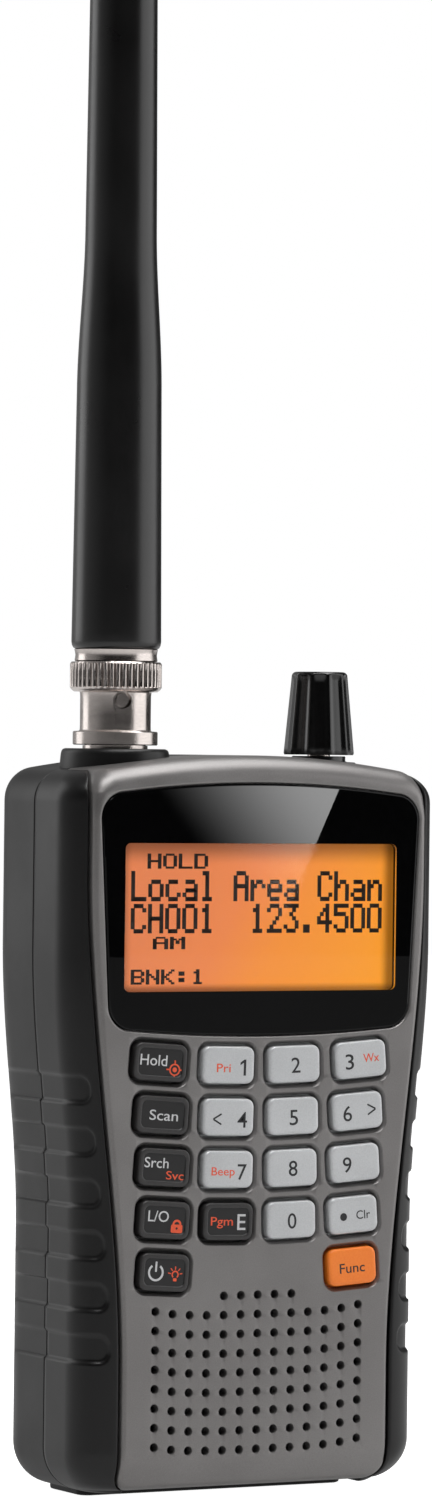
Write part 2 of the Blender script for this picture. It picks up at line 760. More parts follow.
@dataclass(frozen=True)
class KeyLayout:
    """Where the keys lie: a shallow arc, with rows that get a little narrower towards the foot."""

    width: float = 9.2
    height: float = 5.8
    pitch: float = 8.1
    top: float = 67.6
    arc: float = 240.0
    names: tuple[str, ...] = ("hold", "1", "2", "3", "scan", "4", "5", "6", "search", "7", "8", "9",
                              "lockout", "enter", "0", "clear", "power", "", "", "function")

    def size(self, i: int) -> tuple[float, float]:
        """Returns a key's width and height."""
        return self.width - 0.15 * (i // 4), self.height

    def centre(self, i: int) -> tuple[float, float]:
        """Returns a key's (x, z)."""
        row, column = divmod(i, 4)
        outer = 16.7 + 1.1 * (1 - row / 4) ** 2
        x = (outer if column in (0, 3) else 5.85 - 0.07 * row) * (-1 if column < 2 else 1)
        return x, self.top - row * self.pitch + x * x / (2 * self.arc)

    def place(self, i: int, loop: Array) -> Array:
        """Places points of a key's own frame: turned with the arc and set at its centre.

        Args:
            i: the key's number.
            loop: (n, 2) points about the key's middle.

        Returns:
            The (x, z) points on the case.
        """
        x, z = self.centre(i)
        lean = np.arcsin(x / self.arc)
        turn = np.array([[np.cos(lean), np.sin(lean)], [-np.sin(lean), np.cos(lean)]])
        return loop @ turn + np.array([x, z])

    def loop(self, i: int, grow: float, radius: float) -> Array:
        """Returns key i's outline grown by grow."""
        width, height = self.size(i)
        return self.place(i, rounded_rect(width + 2 * grow, height + 2 * grow, radius))

    def used(self) -> list[int]:
        """Returns the numbers of the places that hold a key."""
        return [i for i, name in enumerate(self.names) if name]


KEYS = KeyLayout()


# ---------------------------------------------------------------- covers


@dataclass(frozen=True)
class FrontCover:
    """Metal-look front panel with its window recess, key wells and loudspeaker grille."""

    hole_r: float = 0.675
    hole_pitch: float = 3.0
    grille_foot: float = 7.8
    ring_x: float = 18.3
    ring_r: float = 6.15
    ring_floor: float = 114.1

    def grille(self) -> Array:
        """Returns the grille holes' centres: straight rows whose ends sweep up with the fourth power of x."""
        column, row = np.meshgrid(np.arange(-6, 7), np.arange(8))
        x = column.ravel() * self.hole_pitch
        z = self.grille_foot + row.ravel() * self.hole_pitch + 0.94 * (np.abs(x) / 18) ** 4
        extra = np.arange(-2, 3) * self.hole_pitch
        return np.vstack([np.stack([x, z], -1), np.stack([extra, np.full(5, self.grille_foot + 24)], -1)])

    def on_face(self, loop: Array, depth: Array | float) -> Array:
        """Returns (x, z) points at a depth behind the curved face."""
        return lift(loop, FORM.face + FORM.pull(loop[..., 1]) + depth)

    def rings(self, shell: Shell, loops: Sequence[tuple[Array, float]]) -> None:
        """Joins a stack of (loop, depth) rings into one strip."""
        shell.grid(np.stack([self.on_face(loop, depth) for loop, depth in loops]), True)

    def build(self) -> bpy.types.Object:
        """Returns the panel: a flat face with holes, an edge rounded as a quarter ellipse, an inner wall."""
        shell, outline = Shell(), FORM.panel_outline()
        normal = outwards(outline)
        lip = FORM.window_outline(-0.45)
        apart = np.linalg.norm(outline[:, None] - lip[None], axis=2).min(1)
        ease = 0.85 + 2.75 * smooth((outline[:, 1] - 103.0) / 6.5)
        ease = np.minimum(ease, apart - 0.12)
        for _ in range(3):
            ease = np.minimum(ease, (np.roll(ease, 1) + ease + np.roll(ease, -1)) / 3)
        deep = ease * 1.15
        inner = outline - normal * ease[:, None]
        swing = np.radians(np.linspace(0, 90, 10))[:, None]
        ring = outline[None] - normal[None] * (ease[None] * (1 - np.sin(swing)))[..., None]
        shell.grid(self.on_face(ring, deep[None] * (1 - np.cos(swing))), True)
        edge = self.on_face(outline, deep)
        wall = outline - normal * FORM.wall
        back = FORM.part
        shell.grid(np.stack([edge, lift(outline, back - 0.12), lift(outline - normal * 0.12, back),
                             lift(wall, back), self.on_face(wall, FORM.wall)]), True)
        wells = [[(KEYS.loop(i, g, r), d) for g, r, d in (
            (0.9, 2.1, 0), (0.86, 2.06, 0.02), (0.78, 2.0, 0.1), (0.66, 1.9, 0.24), (0.52, 1.8, 0.44),
            (0.41, 1.7, 0.66), (0.35, 1.6, 0.9), (0.35, 1.6, FORM.wall))] for i in KEYS.used()]
        holes = [[(circle(self.hole_r + g, 16, x, z), d) for g, d in (
            (0.13, 0), (0.05, 0.03), (0.0, 0.12), (0.0, FORM.wall))] for x, z in self.grille().tolist()]
        sight = rounded_rect(51.2, 26.0, 1.5) + np.array([0, FORM.display_z])
        recess = [(FORM.window_outline(-g), d) for g, d in (
            (0.45, 0), (0.4, 0.015), (0.28, 0.08), (0.17, 0.2), (0.1, 0.42), (0.1, 1.25))]
        for strip in [*wells, *holes, recess, [(sight, 1.25), (sight, FORM.wall)]]:
            self.rings(shell, strip)
        rows = []
        for z in (6.5, 5.9, 5.3, 4.75, 4.25, 3.8, 3.45, 3.15, 2.9):
            reach = float(FORM.panel_edge(np.array(z))) - 1.9
            rows.append(np.stack([np.linspace(-reach, reach, 23), np.full(23, z)], -1))
        front_loops = [inner, lip, *[well[0][0] for well in wells], *[hole[0][0] for hole in holes]]
        back_loops = [wall, sight, *[well[-1][0] for well in wells], *[hole[-1][0] for hole in holes]]
        back_rows = [row * np.array([0.9, 1]) for row in rows if row[0, 1] > 3.9]
        for loops, chains, depth in ((front_loops, rows, 0), (back_loops, back_rows, FORM.wall)):
            points, triangles = plate(loops, chains)
            shell.add(self.on_face(points, depth), triangles)
        points, triangles = plate([recess[-1][0], sight])
        shell.add(self.on_face(points, 1.25), triangles)
        piece = shell.build("front_panel", [Look.PANEL], 32)
        carve(piece, [self.ring_seat()], 32)
        return piece

    def ring_seat(self) -> Shell:
        """Returns the cutter for the shallow seat of the squelch ring."""
        cutter = Shell()
        profile = np.array([[0, self.ring_floor], [self.ring_r, self.ring_floor],
                            [self.ring_r, 118], [0, 118]])
        lathe(cutter, profile, self.ring_x, 0, 64)
        return cutter


@dataclass(frozen=True)
class Rail:
    """Soft black side rail: a rounded corner carried up the side, with finger grooves."""

    set_back: float = 0.3
    lip: float = 0.55
    foot: float = 1.3
    head: float = 113.25
    fit: float = 0.06

    def levels(self) -> Array:
        """Returns the sections' heights, dense where the side turns under at the foot and the shoulder."""
        low = FORM.base + FORM.low_r
        high = FORM.crown(28.0) - FORM.shoulder_r
        foot = low - FORM.low_r * np.sin(np.linspace(np.arcsin((low - self.foot) / FORM.low_r), 0, 22))
        end = np.arcsin((self.head - high) / FORM.shoulder_r)
        head = high + FORM.shoulder_r * np.sin(np.linspace(0, end, 20))
        straight = np.arange(low, high, 0.28)
        return np.unique(np.round(np.concatenate([foot, straight, head]), 4))

    def build(self, side: int) -> bpy.types.Object:
        """Builds one rail.

        The section runs from the groove round a small lip, along an arc of the front corner's radius
        until it faces sideways, then straight back to the parting line. Finger grooves press it in
        along its own normal.

        Args:
            side: 1 for the user's right, -1 for the left.

        Returns:
            The rail.
        """
        z = self.levels()[:, None]
        r = FORM.front_r
        width = FORM.half_width(z)
        gap = FORM.panel_edge(z) + FORM.groove
        bow = draw_in(4.2, z - (self.head - 3.9)) * 0.95
        front = FORM.face + self.set_back + FORM.pull(z) + bow
        cx, cy = width - r, front + r
        first = -np.arccos(np.clip((gap - cx) / r, -0.999, 0.999))
        begin = np.minimum(first + self.lip / r, -0.05)
        arc = begin * (1 - np.linspace(0, 1, 40)[None])
        ax, ay = cx + r * np.cos(arc), cy + r * np.sin(arc)
        t = np.linspace(0, 1, 6)[None, :-1]
        knee = cy + r * np.sin(first)
        lx = (1 - t) ** 2 * gap + 2 * t * (1 - t) * gap + t * t * ax[:, :1]
        ly = (1 - t) ** 2 * (knee + self.lip) + 2 * t * (1 - t) * knee + t * t * ay[:, :1]
        back = FORM.part - self.fit
        run = np.linspace(0, 1, 12)[None, 1:]
        sx = np.repeat(width, run.shape[1], 1)
        sy = cy + (back - 0.16 - cy) * run
        grooved_x, grooved_y = np.hstack([ax, sx]), np.hstack([ay, sy])
        angle = np.hstack([arc, np.zeros_like(sx)])
        along = r * (arc - first)
        along = np.hstack([along, along[:, -1:] + (sy - cy)])
        depth = FORM.finger_grooves(along, z, 1.5)
        grooved_x = grooved_x - depth * np.cos(angle)
        grooved_y = grooved_y - depth * np.sin(angle)
        edge = grooved_x[:, -1:]
        x = np.hstack([gap, lx, grooved_x, edge - 0.05, edge - 0.16, np.minimum(gap, edge - 0.4)])
        y = np.hstack([np.minimum(knee + 2.6, back - 0.3), ly, grooved_y, np.full_like(z, back - 0.05),
                       np.full_like(z, back), np.full_like(z, back)])
        grid = np.stack([side * x, y, np.broadcast_to(z, x.shape)], -1)
        shell = Shell()
        shell.grid(grid, True)
        shell.cap(grid[0])
        shell.cap(grid[-1])
        return shell.build("side_rail_" + ("right" if side > 0 else "left"), [Look.SOFT], 50)


@dataclass(frozen=True)
class RearCover:
    """Black rear cover, hollow, with its battery opening, screw wells, clip holes and side socket."""

    fit: float = 0.06
    door_hw: float = 17.25
    door_low: float = 2.74
    door_high: float = 80.25
    clip_z: float = 94.0
    screws: tuple[tuple[float, float], ...] = ((-24.5, 9.0), (24.5, 9.0), (-26.3, 64.0), (26.3, 64.0))

    def rings(self, y: Array, skin: float, steps: int) -> Array:
        """Works out rings of the case's outline.

        Sides draw in over the rear corner's radius and the top and underside over the smaller edge
        radius, so each ring is a rounded arch-topped rectangle with its own corner radii.

        Args:
            y: the rings' depths.
            skin: how far each ring is drawn in all round.
            steps: points up each straight side.

        Returns:
            (depths, points, 3) rings.
        """
        y = y[:, None]
        a = skin + draw_in(FORM.rear_r, y - (FORM.back - FORM.rear_r))
        b = skin + draw_in(FORM.edge_r, y - (FORM.back - FORM.edge_r))
        r_low = FORM.low_r - 0.45 * (b - skin) - 0.5 * skin
        r_top = FORM.shoulder_r - 0.45 * (b - skin) - 0.5 * skin
        low = FORM.base + b
        foot_x = FORM.side(low + r_low) - a - r_low
        t = np.linspace(0, 1, 10)[None, :-1]
        parts = [(t * foot_x, np.broadcast_to(low, (len(y), 9)))]
        angle = np.radians(np.linspace(-90, 0, 16))[None]
        z = low + r_low * (1 + np.sin(angle))
        parts.append((FORM.side(z) - a - r_low + r_low * np.cos(angle), z))
        reach = FORM.crown_r - b - r_top
        top_x = FORM.width / 2 - a - r_top
        centre = FORM.height - FORM.crown_r + np.sqrt(reach * reach - top_x * top_x)
        t = np.linspace(0, 1, steps + 2)[None, 1:-1]
        z = (low + r_low) + (centre - low - r_low) * t
        parts.append((FORM.side(z) - a, z))
        end = np.pi / 2 - np.arcsin(top_x / reach)
        angle = np.linspace(0, 1, 14)[None] * end
        parts.append((top_x + r_top * np.cos(angle), centre + r_top * np.sin(angle)))
        arch = FORM.crown_r - b
        last = parts[-1][0][:, -1:]
        x = last * np.linspace(1, 0, 30)[None, 1:]
        parts.append((x, FORM.height - FORM.crown_r + np.sqrt(arch * arch - x * x)))
        x = np.hstack([p[0] for p in parts])
        z = np.hstack([p[1] for p in parts])
        x, z = np.hstack([x, -x[:, -2:0:-1]]), np.hstack([z, z[:, -2:0:-1]])
        return np.stack([x, np.broadcast_to(y, x.shape), z], -1)

    def build(self) -> bpy.types.Object:
        """Returns the cover: outer and inner skins joined at the parting line, then cut."""
        start = FORM.part + self.fit
        turn = np.radians(np.linspace(0, 90, 16))
        y = np.unique(np.round(np.concatenate([
            np.linspace(start + 0.16, FORM.back - FORM.rear_r, 12),
            FORM.back - FORM.rear_r * (1 - np.sin(turn)),
            FORM.back - FORM.edge_r * (1 - np.sin(turn))]), 4))
        outer = self.rings(y, 0, 330)
        side = np.abs(outer[..., 0]) > 24
        press = FORM.finger_grooves(outer[..., 1] + 20, outer[..., 2], -40) * side
        press *= 1 - smooth((outer[..., 1] - 7.5) / 4)
        outer[..., 0] -= np.sign(outer[..., 0]) * press
        rim = np.stack([self.rings(np.array([start]), 0.16, 330)[0]])
        rim[..., 0] -= np.sign(rim[..., 0]) * press[:1]
        shell = Shell()
        shell.grid(np.concatenate([rim, outer]), True)
        shell.cap(outer[-1])
        inner = self.rings(np.concatenate([[start], np.linspace(3, 13.35, 8)]), FORM.wall, 14)
        shell.grid(inner, True)
        shell.cap(inner[-1])
        rim_loop, inner_loop = rim[0][:, [0, 2]], inner[0][:, [0, 2]]
        points, triangles = plate([rim_loop, inner_loop])
        shell.add(lift(points, start), triangles)
        piece = shell.build("rear_cover_skin", [Look.SHELL], 40)
        carve(piece, self.cutters(), 40)
        return piece

    def cutters(self) -> list[Shell]:
        """Returns the openings: door, clip holes, screw wells, side socket, earphone hole, squelch seat."""
        cuts = Shell()
        middle = (self.door_low + self.door_high) / 2
        door = rounded_rect(2 * self.door_hw, self.door_high - self.door_low, 1.5) + np.array([0, middle])
        cuts.prism(door, 12.9, 16.2)
        for x in (-8.0, 8.0):
            cuts.prism(circle(1.25, 24, x, self.clip_z), 10.7, 16.2)
        for x, z in self.screws:
            cuts.prism(circle(2.1, 28, x, z), 12.2, 16.4)
        slot = rounded_rect(3.6, 8.4, 0.8)
        ends = [np.stack([np.full(len(slot), x), slot[:, 0] + 5, slot[:, 1] + 99], -1) for x in (27.0, 36.0)]
        cuts.grid(np.stack(ends), True)
        cuts.cap(ends[0])
        cuts.cap(ends[1])
        profile = np.array([[0, 108.0], [3.1, 108.0], [3.1, 118], [0, 118]])
        lathe(cuts, profile, 0, 4, 32)
        return [cuts, FrontCover().ring_seat()]


@dataclass(frozen=True)
class BatteryDoor:
    """Sliding battery door with finger ridges and a pressed arrow."""

    half: float = 17.0
    low: float = 6.8
    high: float = 80.0
    thick: float = 1.5

    def sill(self) -> bpy.types.Object:
        """Returns the sill behind the door's foot, which closes the room the door slides into."""
        shell = Shell()
        loop = rounded_rect(2 * self.half + 2.4, 12.0, 1.0) + np.array([0, 9.3])
        shell.prism(loop, 12.75, 13.3)
        return shell.build("door_sill", [Look.SHELL], 40)

    def build(self) -> bpy.types.Object:
        """Returns the door: a rounded plate, eased at its outer edge, with slots and an arrow pressed in."""
        shell = Shell()
        middle, tall = (self.low + self.high) / 2, self.high - self.low
        back = FORM.back

        def rim(grow: float) -> Array:
            """Returns the door's outline grown by grow."""
            return rounded_rect(2 * (self.half + grow), tall + 2 * grow, 1.3 + grow) + np.array([0, middle])

        def dent(loop: Array, depth: float) -> Array:
            """Adds a pressed shape's sloped walls and floor.

            Args:
                loop: its (x, z) outline at the door's outer face.
                depth: how deep it is.

            Returns:
                The same outline, for the outer face to leave out.
            """
            centre = loop.mean(0)
            small = centre + (loop - centre) * 0.9
            shell.grid(np.stack([lift(loop, back), lift(centre + (loop - centre) * 0.96, back - depth * 0.6),
                                 lift(small, back - depth)]), True)
            points, triangles = plate([small])
            shell.add(lift(points, back - depth), triangles)
            return loop

        shell.grid(np.stack([lift(rim(0), back - self.thick), lift(rim(0), back - 0.35),
                             lift(rim(-0.1), back - 0.1), lift(rim(-0.35), back)]), True)
        slots = [rounded_rect(12, 0.9, 0.4) + np.array([0, self.high - 7.6 - 1.6 * i]) for i in range(5)]
        arrow = np.array([[-3.2, 58.5], [0, 55.0], [3.2, 58.5], [3.2, 59.6], [0, 56.1], [-3.2, 59.6]])
        arrow = np.vstack([np.linspace(a, b, 5)[:-1] for a, b in zip(arrow, np.roll(arrow, -1, 0))])
        pressed = [dent(slot, 0.45) for slot in slots]
        shell.grid(np.stack([lift(arrow, back), lift(arrow, back - 0.3)]), True)
        points, triangles = plate([arrow])
        shell.add(lift(points, back - 0.3), triangles)
        points, triangles = plate([rim(-0.35), *pressed, arrow])
        shell.add(lift(points, back), triangles)
        points, triangles = plate([rim(0)])
        shell.add(lift(points, back - self.thick), triangles)
        return shell.build("battery_door_skin", [Look.SHELL], 40)


@dataclass(frozen=True)
class Foot:
    """Low rubber foot under the case."""

    width: float = 47.0
    front: float = -1.6
    back: float = 10.7

    def build(self) -> bpy.types.Object:
        """Returns the foot: stacked rounded rectangles, eased at the ground."""
        shell, deep = Shell(), self.back - self.front
        middle = np.array([0, (self.front + self.back) / 2])
        rings = []
        for grow, z in ((-0.4, 0.0), (-0.1, 0.12), (0, 0.4), (0, 1.02)):
            loop = rounded_rect(self.width + 2 * grow, deep + 2 * grow, 2 + grow) + middle
            rings.append(np.stack([loop[:, 0], loop[:, 1], np.full(len(loop), z)], -1))
        shell.grid(np.stack(rings), True)
        shell.cap(rings[0])
        shell.cap(rings[-1])
        return shell.build("foot_rubber", [Look.SOFT], 40)


# ---------------------------------------------------------------- display

# Each character of the display is seven rows of five dots, a row's dots being the bits of one number.
GLYPHS = {
    "A": (14, 17, 17, 31, 17, 17, 17), "B": (30, 17, 17, 30, 17, 17, 30), "C": (14, 17, 16, 16, 16, 17, 14),
    "D": (30, 17, 17, 17, 17, 17, 30), "H": (17, 17, 17, 31, 17, 17, 17), "K": (17, 18, 20, 24, 20, 18, 17),
    "L": (16, 16, 16, 16, 16, 16, 31), "M": (17, 27, 21, 21, 17, 17, 17), "N": (17, 17, 25, 21, 19, 17, 17),
    "O": (14, 17, 17, 17, 17, 17, 14), "a": (0, 0, 14, 1, 15, 17, 15), "c": (0, 0, 14, 16, 16, 17, 14),
    "e": (0, 0, 14, 17, 31, 16, 14), "h": (16, 16, 22, 25, 17, 17, 17), "l": (12, 4, 4, 4, 4, 4, 14),
    "n": (0, 0, 22, 25, 17, 17, 17), "o": (0, 0, 14, 17, 17, 17, 14), "r": (0, 0, 22, 25, 16, 16, 16),
    "0": (14, 17, 17, 17, 17, 17, 14), "1": (4, 12, 4, 4, 4, 4, 14), "2": (14, 17, 1, 2, 4, 8, 31),
    "3": (31, 2, 4, 2, 1, 17, 14), "4": (2, 6, 10, 18, 31, 2, 2), "5": (31, 16, 30, 1, 1, 17, 14),
    ".": (0, 0, 0, 0, 0, 12, 12), ":": (0, 12, 12, 0, 12, 12, 0), " ": (0, 0, 0, 0, 0, 0, 0),
}


@dataclass(frozen=True)
class Line:
    """One line of dot-matrix text: its words, left edge, top and the dots' pitches across and down."""

    words: str
    x: float
    top: float
    across: float
    down: float


@dataclass(frozen=True)
class Display:
    """Glossy window with a black printed border, and the amber panel behind it."""

    view_w: float = 48.2
    view_h: float = 23.0
    thick: float = 1.1
    bold: float = 1.36
    dot_h: float = 0.05
    lines: tuple[Line, ...] = (
        Line("HOLD", -19.2, 100.45, 0.455, 0.335), Line("Local Area Chan", -22.0, 97.75, 0.5, 0.67),
        Line("CH001  123.4500", -22.0, 92.65, 0.5, 0.65), Line("AM", -18.1, 87.55, 0.5, 0.275),
        Line("BNK:1", -21.9, 82.5, 0.44, 0.33))

    def sight(self, grow: float, radius: float) -> Array:
        """Returns the visible display's outline grown by grow."""
        loop = rounded_rect(self.view_w + 2 * grow, self.view_h + 2 * grow, radius)
        return loop + np.array([0, FORM.display_z])

    def border(self) -> bpy.types.Object:
        """Returns the black border: a plate from the window's outline to the sight, eased at its edge."""
        shell, front = Shell(), FORM.face + 0.05
        back = front + self.thick
        outside = [(FORM.window_outline(g), d) for g, d in (
            (0.3, front), (0.12, front + 0.04), (0.03, front + 0.14), (0.0, front + 0.35), (0.0, back))]
        inside = [(self.sight(g, 0.9 + g), d) for g, d in (
            (0.0, front), (-0.02, front + 0.03), (-0.02, back))]
        for strip in (outside, inside):
            shell.grid(np.stack([lift(loop, depth) for loop, depth in strip]), True)
        for end in (0, -1):
            points, triangles = plate([outside[end][0], inside[end][0]])
            shell.add(lift(points, front if end == 0 else back), triangles)
        return shell.build("window_border", [Look.WINDOW], 8)

    def pane(self) -> bpy.types.Object:
        """Returns the clear pane that fills the sight."""
        shell, front = Shell(), FORM.face + 0.055
        loop = self.sight(-0.03, 0.88)
        points, triangles = plate([loop])
        shell.grid(np.stack([lift(loop, front), lift(loop, front + 0.5)]), True)
        shell.add(lift(points, front), triangles)
        shell.add(lift(points, front + 0.5), triangles)
        return shell.build("window_pane", [Look.CLEAR], 30)

    def glow(self) -> bpy.types.Object:
        """Returns the lit panel, a thin slab the size of the CAD panel."""
        low, high = (np.array(c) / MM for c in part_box("lcd_panel"))
        shell = Shell()
        loop = rounded_rect(high[0] - low[0], high[2] - low[2], 0.5) + np.array([0, (low[2] + high[2]) / 2])
        shell.prism(loop, low[1], high[1])
        piece = shell.build("display_glow", [], 30)
        size = np.array([self.view_w, 0, self.view_h]) / 2 * MM
        centre = np.array([0, 0, FORM.display_z * MM])
        finish = GlowFinish("lcd_amber", tuple(centre - size), tuple(centre + size))
        piece.data.materials.append(finish.make())
        return piece

    def dots(self) -> bpy.types.Object:
        """Returns the dark dots: each set bit of each glyph is a thin box on the lit panel."""
        spots = []
        for line in self.lines:
            rows = np.array([GLYPHS[c] for c in line.words])
            bits = (rows[:, :, None] >> np.arange(4, -1, -1)) & 1
            letter, row, column = np.nonzero(bits)
            x = line.x + (letter * 6 + column + 0.5) * line.across
            z = line.top - (row + 0.5) * line.down
            size = np.broadcast_to(np.array([line.across * self.bold, line.down * 1.02]) / 2, (len(x), 2))
            spots.append(np.column_stack([x, z, size]))
        x, z, hx, hz = np.concatenate(spots).T
        front = float(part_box("lcd_panel")[0].y) / MM
        corner = np.array([[-1, -1], [1, -1], [1, 1], [-1, 1]])
        flat = np.stack([x[:, None] + hx[:, None] * corner[:, 0],
                         z[:, None] + hz[:, None] * corner[:, 1]], -1)
        points = np.concatenate([lift(flat, front - self.dot_h), lift(flat, front + self.dot_h)], 1)
        points = points.reshape(-1, 3)
        box = np.array([[0, 1, 2, 3], [7, 6, 5, 4], [0, 4, 5, 1], [1, 5, 6, 2], [2, 6, 7, 3], [3, 7, 4, 0]])
        faces = (box[None] + 8 * np.arange(len(x))[:, None, None]).reshape(-1, 4)
        shell = Shell()
        shell.add(points, faces)
        return shell.build("display_dots", [Look.DOTS], 30)


# ---------------------------------------------------------------- keys


class Cap(Enum):
    """What a key cap looks like."""

    GREY = "grey"
    DARK = "dark"
    ORANGE = "orange"


@dataclass(frozen=True)
class Mark:
    """Printed words on a key: centre from the key's own, width, cap height and ink."""

    words: str
    x: float
    z: float
    width: float
    tall: float
    ink: Look = Look.INK_BLACK


MARKS: dict[str, tuple[Mark, ...]] = {
    "hold": (Mark("Hold", -1.2, 0.35, 4.7, 1.75, Look.INK_WHITE),),
    "1": (Mark("Pri", -0.9, -0.4, 2.45, 1.4, Look.INK_RED),),
    "2": (Mark("2", 0.2, -0.1, 1.6, 2.5),),
    "3": (Mark("3", -2.1, -0.15, 1.5, 2.5), Mark("Wx", 1.8, 0.2, 2.85, 1.4, Look.INK_RED)),
    "scan": (Mark("Scan", 0.2, 0.0, 5.0, 1.65, Look.INK_WHITE),),
    "4": (Mark("4", 2.4, -0.3, 1.7, 2.55),),
    "5": (Mark("5", 0.0, -0.15, 1.5, 2.5),),
    "6": (Mark("6", -1.9, -0.15, 1.55, 2.5),),
    "search": (Mark("Srch", -1.35, 0.75, 4.2, 1.65, Look.INK_WHITE),
               Mark("Svc", 2.0, -1.1, 3.1, 1.35, Look.INK_RED)),
    "7": (Mark("7", 2.4, -0.3, 1.6, 2.55), Mark("Beep", -0.95, -0.25, 4.1, 1.35, Look.INK_RED)),
    "8": (Mark("8", 0.05, 0.0, 1.55, 2.5),),
    "9": (Mark("9", -1.5, -0.1, 1.55, 2.5),),
    "lockout": (Mark("L/O", -1.1, 0.6, 3.6, 1.75, Look.INK_WHITE),),
    "enter": (Mark("E", 2.4, 0.0, 1.45, 2.6, Look.INK_WHITE),
              Mark("Pgm", -1.05, 0.1, 3.9, 1.4, Look.INK_RED)),
    "0": (Mark("0", 0.05, -0.1, 1.55, 2.5),),
    "clear": (Mark("Clr", 1.7, -0.05, 2.5, 1.4),),
    "function": (Mark("Func", -0.1, -0.15, 4.5, 1.6),),
}


@dataclass(frozen=True)
class Keypad:
    """The key caps, their legends and their pictograms."""

    front: float = -15.68
    flange: float = -13.1
    ink: float = 0.015
    capital: float = 0.729

    def cap(self, i: int) -> Cap:
        """Returns which look key i has."""
        if KEYS.names[i] == "function":
            return Cap.ORANGE
        return Cap.DARK if i % 4 == 0 or KEYS.names[i] == "enter" else Cap.GREY

    def field(self, i: int) -> float:
        """Returns the depth of the surface that key i's legend is printed on."""
        return self.front + (0.16 if self.cap(i) is Cap.DARK else 0.0)

    def build_cap(self, i: int) -> bpy.types.Object:
        """Builds a cap: rounded rectangles from flange to crown, a raised rim round a dark key's field.

        Args:
            i: the key's number.

        Returns:
            The cap.
        """
        kind, shell, top = self.cap(i), Shell(), self.front
        foot = [(0.6, 1.5, self.flange + 0.6), (0.6, 1.5, self.flange), (0.0, 1.3, self.flange)]
        if kind is Cap.DARK:
            crown = [(0.0, 1.3, top + 0.34), (-0.03, 1.28, top + 0.17), (-0.12, 1.2, top + 0.05),
                     (-0.26, 1.1, top), (-0.62, 0.95, top), (-0.76, 0.85, top + 0.05),
                     (-0.84, 0.8, top + 0.16)]
            split = 6
        else:
            crown = [(0.0, 1.3, top + 0.5), (-0.04, 1.27, top + 0.28), (-0.13, 1.2, top + 0.12),
                     (-0.28, 1.1, top + 0.035), (-0.5, 0.95, top + 0.004), (-0.8, 0.8, top)]
            split = len(crown)
        rings = [lift(KEYS.loop(i, grow, radius), depth) for grow, radius, depth in [*foot, *crown]]
        shell.grid(np.stack(rings[:3 + split]), True)
        shell.grid(np.stack(rings[2 + split:]), True, 1 if kind is Cap.DARK else 0)
        shell.cap(rings[-1], 1 if kind is Cap.DARK else 0)
        shell.cap(rings[0])
        looks = {Cap.GREY: [Look.KEY_GREY], Cap.ORANGE: [Look.KEY_ORANGE],
                 Cap.DARK: [Look.KEY_RIM, Look.KEY_DARK]}
        return shell.build("cap_" + KEYS.names[i], looks[kind], 38)

    def legend(self, i: int) -> bpy.types.Object | None:
        """Prints a key's words, each scaled to its own width and cap height.

        Args:
            i: the key's number.

        Returns:
            The words as one mesh, or None where the key has none.
        """
        marks = MARKS.get(KEYS.names[i], ())
        if not marks:
            return None
        work, inks = bmesh.new(), []
        for mark in marks:
            inks.append(mark.ink)
            curve = bpy.data.curves.new("words", "FONT")
            curve.body, curve.resolution_u = mark.words, 4
            curve.extrude, curve.offset = 0.01, 0.004
            letters = bpy.data.objects.new("words", curve)
            bpy.context.scene.collection.objects.link(letters)
            bpy.context.view_layer.update()
            shown = letters.evaluated_get(bpy.context.evaluated_depsgraph_get())
            mesh = bpy.data.meshes.new_from_object(shown)
            flat = np.empty(len(mesh.vertices) * 3)
            mesh.vertices.foreach_get("co", flat)
            flat = flat.reshape(-1, 3)
            low, high = flat.min(0), flat.max(0)
            scale_x = mark.width / (high[0] - low[0])
            scale_z = mark.tall / self.capital
            local = np.stack([(flat[:, 0] - (low[0] + high[0]) / 2) * scale_x + mark.x,
                              (flat[:, 1] - self.capital / 2) * scale_z + mark.z], -1)
            placed = KEYS.place(i, local)
            depth = self.field(i) - np.sign(flat[:, 2]) * self.ink
            mesh.vertices.foreach_set("co", (lift(placed, depth) * MM).ravel())
            before = len(work.faces)
            work.from_mesh(mesh)
            work.faces.ensure_lookup_table()
            for face in work.faces[before:]:
                face.material_index = len(inks) - 1
            bpy.data.objects.remove(letters)
            bpy.data.curves.remove(curve)
            bpy.data.meshes.remove(mesh)
        mesh = bpy.data.meshes.new("legend_" + KEYS.names[i])
        work.to_mesh(mesh)
        work.free()
        return finish_mesh(mesh.name, mesh, inks, 30)

    def pictogram(self, i: int, name: str, loops: Sequence[tuple[Array, Array | None]],
                  ink: Look) -> bpy.types.Object:
        """Prints a flat shape.

        Args:
            i: the key it is on.
            name: the piece's name.
            loops: (outer, inner) loops in the key's own frame; inner is None for a filled shape.
            ink: its colour.

        Returns:
            The shape.
        """
        shell, front = Shell(), self.field(i) - self.ink
        for outer, inner in loops:
            rims = [KEYS.place(i, loop) for loop in (outer, inner) if loop is not None]
            points, triangles = plate(rims)
            for depth in (front, front + 2 * self.ink):
                shell.add(lift(points, depth), triangles)
            for rim in rims:
                shell.grid(np.stack([lift(rim, front), lift(rim, front + 2 * self.ink)]), True)
        return shell.build(name, [ink], 30)

    def one(self) -> Array:
        """Returns the numeral 1 as a loop: a stem with a slanted flag."""
        return np.array([[2.62, -1.6], [3.04, -1.6], [3.04, 0.9], [2.72, 0.9], [2.02, 0.42], [2.02, 0.02],
                         [2.62, 0.4]])

